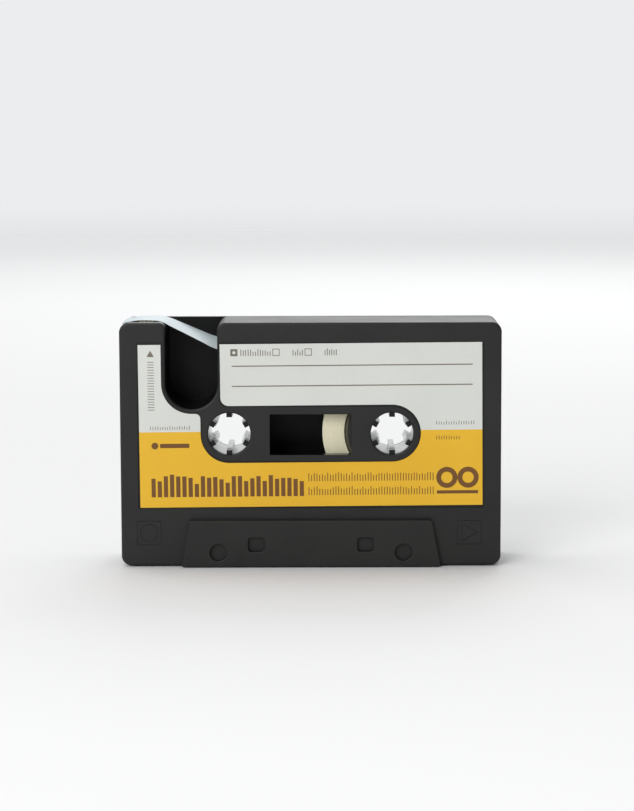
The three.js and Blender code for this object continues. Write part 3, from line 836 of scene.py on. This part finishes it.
# %% Grey print on the silver ground
BOX_LOW, BOX_HIGH, HEAD_Z, HEAD, FINE = 77.9, 80.5, 77.95, 2.5, 0.3
SMALL, THIN = 1.5, 0.24
rule = item(ink(rectangle(0, 88.2, -0.2, 0.2)))
rules = step_copies("rules", rule, 2, (-28.7, 0, 66.8), (0, 0, 7.4), grey_ink)
index_box = ink(rectangle(-29.1, -26.5, BOX_LOW, BOX_HIGH), circle(-27.8, 79.2, 0.6, 30))
mark = item(ink(rectangle(0, 2.4, 0, THIN)))
side_scale = step_copies("scale", mark, 19, (-59.6, 0, 58.2), (0, 0, 0.98), grey_ink)
inked("print_grey", [
    rules, index_box, side_scale,
    row(-25.4, -14.4, HEAD_Z, HEAD, FINE, 13, 0.5, 3), frame_box(-13.7, -11.1, BOX_LOW, BOX_HIGH),
    row(-6.3, -2.6, HEAD_Z, HEAD, FINE, 5, 0.5, 4), frame_box(-1.9, 0.7, BOX_LOW, BOX_HIGH),
    row(5.4, 9.8, HEAD_Z, HEAD, FINE, 6, 0.5, 5),
    row(-58.9, -44.4, 50.95, SMALL, THIN, 17, 0.4, 6), row(46.1, 60.0, 52.0, SMALL, THIN, 16, 0.4, 7),
    ink(rounded_polygon([(-59.8, 77.9), (-57.1, 77.9), (-58.45, 80.2)], 0.05))], grey_ink)

# %% Brown print on the yellow ground
REEL_Z, REEL_R, REEL_BORE, SCALE_HEIGHT, SCALE_TICKS = 32.4, 3.9, 2.1, 3.3, 47
reels = []
for x in (49.9, 57.7):
    reels.append(ink(circle(x, REEL_Z, REEL_R, 6), circle(x, REEL_Z, REEL_BORE, 10)))
inked("print_brown", [
    row(-58.8, -2.7, 25.95, 8.6, 1.55, 25, 0.5, 11),
    row(-1.0, 45.0, 31.4, SCALE_HEIGHT, FINE, SCALE_TICKS, 0.35, 12),
    row(-1.0, 45.0, 26.2, SCALE_HEIGHT, FINE, SCALE_TICKS, 0.35, 13),
    *reels, ink(rectangle(46.2, 61.4, 26.4, 27.6)),
    ink(circle(-57.3, 45.0, 1.25, 15)), ink(rectangle(-55.4, -44.6, 44.2, 45.8, 0.4)),
    row(46.1, 54.6, 46.5, SMALL, THIN, 10, 0.4, 14)], brown_ink)

# %% [markdown]
# ## Spool and core
# The roll turns on a black spool with one flange. The tape's own core is a wound card tube.

# %% Turn the spool and the core
barrel, y0, y1 = CORE_BORE - GAP, spool_low.y, spool_high.y
spool = turned("roll_spool", [
    (SPOOL_BORE, y0 + 0.2), (SPOOL_BORE + 0.2, y0), (SPOOL_FLANGE - 0.2, y0), (SPOOL_FLANGE, y0 + 0.2),
    (SPOOL_FLANGE, y0 + 0.5), (SPOOL_FLANGE - 0.2, y0 + SPOOL_FLANGE_THICK), (barrel, y0 + SPOOL_FLANGE_THICK),
    (barrel, y1 - 0.5), (barrel - 0.5, y1), (SPOOL_BORE, y1)], HUB_X, HUB_Z, 128)
paint(spool, spool_abs)
deliver(smooth(spool), "roll", "spool_plastic", "spool")
core = eased_tube("roll_core", HUB_X, HUB_Z, CORE_BORE, CORE_RADIUS, core_low.y, core_high.y, 0.3, 128)
paint(core, core_card)
deliver(smooth(core), "roll", "core_board", "tape_core")

# %% [markdown]
# ## Roll of tape
# The turns never line up exactly, so the sides of a roll show fine rings. A tree sweeps a rectangle round a
# circle and moves each ring by noise that depends only on its radius. At a low angle only real relief shows.


# %% Wind the roll
def roll_tree():
    tree, given = geometry_tree("wound_roll", Radius="Float", Thick="Float", Width="Float", Turn="Float",
                                Uneven="Float", Centre="Vector", Material="Material")
    path = node(tree, "GeometryNodeCurvePrimitiveCircle", {"Resolution": 128, "Radius": given["Radius"]})
    section = node(tree, "GeometryNodeCurvePrimitiveQuadrilateral", {
        "Width": given["Thick"], "Height": given["Width"]})
    fine = node(tree, "GeometryNodeResampleCurve", {"Curve": section.outputs[0], "Length": given["Turn"]},
                mode="LENGTH")
    swept = node(tree, "GeometryNodeCurveToMesh", {"Curve": path.outputs[0], "Profile Curve": fine.outputs[0]})
    place = node(tree, "GeometryNodeInputPosition").outputs[0]
    count = maths(tree, "DIVIDE", radius(tree, place, (1, 1, 0)), given["Turn"])
    noise = node(tree, "ShaderNodeTexNoise", {"W": count, "Scale": 0.8, "Detail": 2.0}, noise_dimensions="1D")
    shift = maths(tree, "MULTIPLY", maths(tree, "SUBTRACT", noise.outputs["Fac"], 0.5), given["Uneven"])
    offset = node(tree, "ShaderNodeCombineXYZ", {"Z": shift}).outputs[0]
    moved = node(tree, "GeometryNodeSetPosition", {"Geometry": swept.outputs[0], "Offset": offset})
    stood = node(tree, "GeometryNodeTransform", {
        "Geometry": moved.outputs[0], "Rotation": (math.pi / 2, 0, 0), "Translation": given["Centre"]})
    return end_tree(tree, stood.outputs[0], given["Material"])


roll_bore = CORE_RADIUS + GAP
roll_thick = ROLL_RADIUS - roll_bore
TURN, UNEVEN = 0.25, 0.05
roll = grow("roll_windings", roll_tree(), Radius=(roll_bore + roll_thick / 2) / MM, Thick=roll_thick / MM,
            Width=(roll_high.y - roll_low.y) / MM, Turn=TURN / MM, Uneven=UNEVEN / MM,
            Centre=at(HUB_X, (roll_low.y + roll_high.y) / 2, HUB_Z), Material=wound_tape)
deliver(smooth(face_outwards(roll), 50), "roll", "wound_tape", "tape_roll")

# %% [markdown]
# ## Free end of the tape
# The tape leaves the top of the roll, comes through the slot in the notch's wall with its front edge low,
# flattens on the landing pad and bends down over the blade. It is one ribbon between two edge lines of a few
# points each, with smooth curves through them.

# %% Lay the ribbon
FILM = 0.08
# x and z of the front edge, then x and z of the rear edge
STATIONS = [
    (HUB_X + 2.3, 74.95, HUB_X + 2.3, 74.95), (8, 76.4, 8, 77.0), (-14, 78.2, -14, 79.6),
    (-28, 79.45, -28.6, 81.7), (-34.6, 79.87, -35.4, 82.71), (-40.6, 82.8, -41.6, 85.1),
    (-46.1, 85.6, -47.2, 87.5), (-50.9, 88.0, -52.0, 89.5), (-53.8, 89.55, -55.0, 90.41),
    (-56.2, 90.27, -57.4, 90.58), (-60.4, 90.45, -60.6, 90.58), (-63.8, 90.4, -64.0, 90.42),
    (-66.2, 90.05, -66.2, 90.1), (-68.1, 89.62, -68.3, 89.68), (-69.7, 88.75, -69.75, 88.8)]


def through(points, steps=5):
    """A smooth curve through points (Catmull-Rom), with steps spans between neighbours."""
    curve = []
    for i in range(len(points) - 1):
        near = [points[min(max(i + k, 0), len(points) - 1)] for k in (-1, 0, 1, 2)]
        before, a, b, after = (Vector(point) for point in near)
        for s in range(steps):
            t = s / steps
            curve.append(0.5 * (2 * a + (b - before) * t + (2 * before - 5 * a + 4 * b - after) * t * t
                                + (3 * a - before - 3 * b + after) * t ** 3))
    return curve + [Vector(points[-1])]


front_edge = through([s[:2] for s in STATIONS])
rear_edge = through([s[2:] for s in STATIONS])
ACROSS = 8
ribbon_y = [roll_low.y + (roll_high.y - roll_low.y) * j / ACROSS for j in range(ACROSS + 1)]
under, over = [], []
for i, (a, b) in enumerate(zip(front_edge, rear_edge)):
    ahead, behind = front_edge[min(i + 1, len(front_edge) - 1)], front_edge[max(i - 1, 0)]
    along = (ahead - behind).normalized()
    up = Vector((along.y, -along.x)) * FILM
    for j, y in enumerate(ribbon_y):
        middle = a.lerp(b, j / ACROSS)
        under.append((middle.x, y, middle.y))
        over.append((middle.x + up.x, y, middle.y + up.y))
count, wide = len(front_edge), ACROSS + 1
top = len(under)
faces = []
for i in range(count - 1):
    for j in range(ACROSS):
        quad = (i * wide + j, i * wide + j + 1, (i + 1) * wide + j + 1, (i + 1) * wide + j)
        faces += [quad, tuple(top + k for k in reversed(quad))]
sides = [(i * wide + j, (i + 1) * wide + j) for i in range(count - 1) for j in (0, ACROSS)]
sides += [(i * wide + j, i * wide + j + 1) for i in (0, count - 1) for j in range(ACROSS)]
faces += [(a, b, top + b, top + a) for a, b in sides]
ribbon = face_outwards(new_object("tape_end", under + over, faces))
paint(ribbon, tape_film)
deliver(smooth(ribbon, 60), "case", "free_tape", "tape_strip")

# %% [markdown]
# ## Cutter
# A steel strip with a saw edge. One pointed tooth is stepped along the strip and joined to it.

# %% Cut the blade's teeth
BLADE_TEETH, TOOTH_RISE = 19, 0.9
root = blade_high.z - TOOTH_RISE
strip = block("cutter", blade_low.x, blade_high.x, blade_low.y, blade_high.y, blade_low.z, root, 0.05)
pitch = (blade_high.y - blade_low.y) / BLADE_TEETH
half = pitch / 2 - 0.01
profile = ((-half, -0.1), (half, -0.1), (half, 0), (0.05, TOOTH_RISE), (-0.05, TOOTH_RISE), (-half, 0))
prism = [(x, y, z) for x in (blade_low.x, blade_high.x) for y, z in profile]
prism_faces = [tuple(range(6)), tuple(range(6, 12))]
prism_faces += [(i, (i + 1) % 6, 6 + (i + 1) % 6, 6 + i) for i in range(6)]
tooth = item(face_outwards(new_object("blade_tooth", prism, prism_faces)))
teeth = step_copies("blade_teeth", tooth, BLADE_TEETH, (0, blade_low.y + pitch / 2, root), (0, pitch, 0),
                    blade_steel)
cutter = combine(strip, ("UNION", [teeth]))
paint(cutter, blade_steel)
deliver(smooth(cutter), "case", "blade_steel", "cutter_blade")

# %% [markdown]
# ## Landing pad
# Ribs across the tape's path hold it lightly, so that its end lifts off easily. A rail closes each end.

# %% Rib the landing pad
PAD_RIBS, RIB_RISE = 4, 0.6
rib_width = (pad_high.x - pad_low.x) / (2 * PAD_RIBS - 1)
rail_low, rail_high = pad_high.z - RIB_RISE - 0.15, pad_high.z - 0.02
base = block("tape_rest", pad_low.x, pad_high.x, pad_low.y, pad_high.y, pad_low.z, pad_high.z - RIB_RISE, 0.1)
rib = item(block("pad_rib", 0, rib_width, pad_low.y + 0.1, pad_high.y - 0.1, -0.15, RIB_RISE, 0.12))
ribs = step_copies("pad_ribs", rib, PAD_RIBS, (pad_low.x, 0, pad_high.z - RIB_RISE), (2 * rib_width, 0, 0),
                   pad_nylon)
ends = [block("pad_end", pad_low.x + 0.05, pad_high.x - 0.05, y, y + 1.2, rail_low, rail_high, 0.12)
        for y in (pad_low.y + 0.05, pad_high.y - 1.25)]
rest = combine(base, ("UNION", [ribs, *ends]))
paint(rest, pad_nylon)
deliver(smooth(rest), "case", "pad_plastic", "landing_pad")

# %% [markdown]
# ## Ballast and screws
# A steel bar low in the case lets the tape be torn with one hand. Four screws hold it against the front half.


# %% Saw the bar and drive the screws
holes = [rod("hole", x, SCREW_Z, SHANK + GAP, bar_low.y - 1, bar_high.y + 1) for x in SCREW_XS]
bar = combine(block("ballast_bar", bar_low.x, bar_high.x, bar_low.y, bar_high.y, bar_low.z, bar_high.z, 0.6),
              ("DIFFERENCE", holes))
paint(bar, bar_steel)
deliver(smooth(bar), "case", "ballast_iron", "ballast_weight")

PITCH, THREAD, HEAD_R, CROSS_LONG, CROSS_THIN, CROSS_DEPTH = 0.9, 0.25, 3.2, 1.8, 0.35, 1.2
y0, y1 = (corner.y for corner in node_box("ballast_screw_1"))
seat, x = bar_high.y + GAP, SCREW_XS[0]
turns = int((seat - y0 - 4) / PITCH * 2)
threads = [(SHANK - THREAD * (k % 2), y0 + 2 + k * PITCH / 2) for k in range(turns)]
screw = turned("screw", [
    (0, y0), (0.5, y0 + 0.6), *threads, (SHANK, seat), (3.0, seat), (HEAD_R, seat + 0.2),
    (HEAD_R, y1 - 1), (2.9, y1 - 0.5), (2.2, y1 - 0.15), (0, y1)], x, SCREW_Z, 32)
recess = [block("recess", x - w, x + w, y1 - CROSS_DEPTH, y1 + 1, SCREW_Z - h, SCREW_Z + h)
          for w, h in ((CROSS_LONG, CROSS_THIN), (CROSS_THIN, CROSS_LONG))]
item(combine(screw, ("DIFFERENCE", recess)), x, 0, SCREW_Z)
SCREW_TURN = 17  # degrees from one cross recess to the next, as screws never stop alike
for i, x in enumerate(SCREW_XS, 1):
    copy = screw.copy()
    copy.data = screw.data.copy()
    scene.collection.objects.link(copy)
    driven = turn_copies(f"bar_screw_{i}", copy, 1, SCREW_TURN * i, 0.0, x, SCREW_Z, zinc_plate)
    deliver(smooth(driven), "case", "screw_steel", f"ballast_screw_{i}")
bpy.data.objects.remove(screw)

# %% [markdown]
# ## Feet
# Rubber pads under the corners, each with four grooves across its sole so that it grips the desk.

# %% Mould the feet
GROOVES, GROOVE_PITCH = 4, 3
for i in range(1, 5):
    low, high = node_box(f"foot_{i}")
    pad = block(f"rubber_foot_{i}", low.x, high.x, low.y, high.y, low.z, high.z, 0.15)
    groove = item(block("groove", -0.3, 0.3, low.y - 1, high.y + 1, -1, 0.2))
    first = (low.x + high.x) / 2 - GROOVE_PITCH * (GROOVES - 1) / 2
    grooves = step_copies("grooves", groove, GROOVES, (first, 0, low.z), (GROOVE_PITCH, 0, 0), foot_rubber)
    combine(pad, ("DIFFERENCE", [grooves]))
    paint(pad, foot_rubber)
    deliver(smooth(pad), "case", "foot_rubber", f"foot_{i}")

# %% [markdown]
# ## Camera, floor and light
# The camera stands about 0.9 m in front and looks slightly down. The floor and the world are pale. A wide sun
# above on the left, a soft lamp in front on the left and one behind keep the shadow under the case soft.

# %% Set the camera
SENSOR, LENS, CAMERA_PLACE = 36, 110.3, (0.0071, -0.9191, 0.17)
RIGHT, UP, AHEAD = (0.999985, 0.004837, -0.003275), (0.002665, 0.120896, 0.99266), (-0.0052, 0.9927, -0.1209)
camera = bpy.data.cameras.new("camera")
camera.sensor_width, camera.lens, camera.clip_start = SENSOR, LENS, 0.05
viewer = bpy.data.objects.new("camera", camera)
right, up, ahead = (Vector(v) for v in (RIGHT, UP, AHEAD))
viewer.matrix_world = Matrix.Translation(CAMERA_PLACE) @ Matrix((right, up, -ahead)).transposed().to_4x4()
scene.collection.objects.link(viewer)
scene.camera = viewer


# %% Lay the floor and hang the lamps
SKY_LAMP, FRONT_LAMP, BACK_LAMP, ROOM_DIM, ROOM_BRIGHT = 0.75, 17.0, 9.0, "#8c8c8e", "#ecedee"
FLOOR_HALF, FADE_START, FADE_END = 9000, 0.5, 3.5

corners = [(x * FLOOR_HALF, y * FLOOR_HALF, -LIFT) for x, y in ((-1, -1), (1, -1), (1, 1), (-1, 1))]
floor = new_object("floor", corners, [(0, 1, 2, 3)])
paper = surface("pale_matt_floor", "#e4e4e4", "#e9e9e9", (0.9, 0.95), 900.0, 0.001, 2500)
paint(floor, paper)

# Far from the case the paper fades into the room, so that no horizon shows.
tree = paper.node_tree
place = node(tree, "ShaderNodeTexCoord").outputs["Object"]
reach = node(tree, "ShaderNodeVectorMath", {0: place}, operation="LENGTH").outputs["Value"]
faded = node(tree, "ShaderNodeMapRange", {"Value": reach, "From Min": FADE_START, "From Max": FADE_END},
             interpolation_type="SMOOTHSTEP")
clear = node(tree, "ShaderNodeBsdfTransparent")
matt = found(tree, "BSDF_PRINCIPLED")
blend = node(tree, "ShaderNodeMixShader", {0: faded.outputs["Result"], 1: matt.outputs[0], 2: clear.outputs[0]})
tree.links.new(blend.outputs[0], found(tree, "OUTPUT_MATERIAL").inputs["Surface"])


def lamp(name, kind, place, target, size, power):
    light = bpy.data.lights.new(name, kind)
    light.energy = power
    if kind == "SUN":
        light.angle = math.radians(size)
    else:
        light.size = size
    holder = bpy.data.objects.new(name, light)
    holder.location = place
    holder.rotation_euler = (Vector(target) - Vector(place)).to_track_quat("-Z", "Y").to_euler()
    scene.collection.objects.link(holder)


lamp("sky_lamp", "SUN", (-0.8, 0.2, 2), (0, 0, 0.05), 60, SKY_LAMP)
lamp("front_lamp", "AREA", (-0.7, -1.5, 0.85), (0, 0, 0.05), 0.9, FRONT_LAMP)
lamp("back_lamp", "AREA", (0.2, 1.5, 1.1), (0, 0, 0.09), 1.0, BACK_LAMP)

# %% Light the room: bright behind the case, dim behind the camera
world = bpy.data.worlds.new("studio")
scene.world = world
world.use_nodes = True
room = world.node_tree
room.nodes.clear()
direction = node(room, "ShaderNodeSeparateXYZ", {"Vector": node(room, "ShaderNodeTexCoord").outputs["Generated"]})
ahead_share = node(room, "ShaderNodeMapRange", {
    "Value": direction.outputs["Y"], "From Min": -0.5, "From Max": 0.5}, interpolation_type="SMOOTHSTEP")
shade = node(room, "ShaderNodeMix", {
    "Factor": ahead_share.outputs["Result"], 6: srgb(ROOM_DIM), 7: srgb(ROOM_BRIGHT)}, data_type="RGBA")
light = node(room, "ShaderNodeBackground", {"Color": shade.outputs[2], "Strength": 1.0})
node(room, "ShaderNodeOutputWorld", {"Surface": light.outputs[0]})
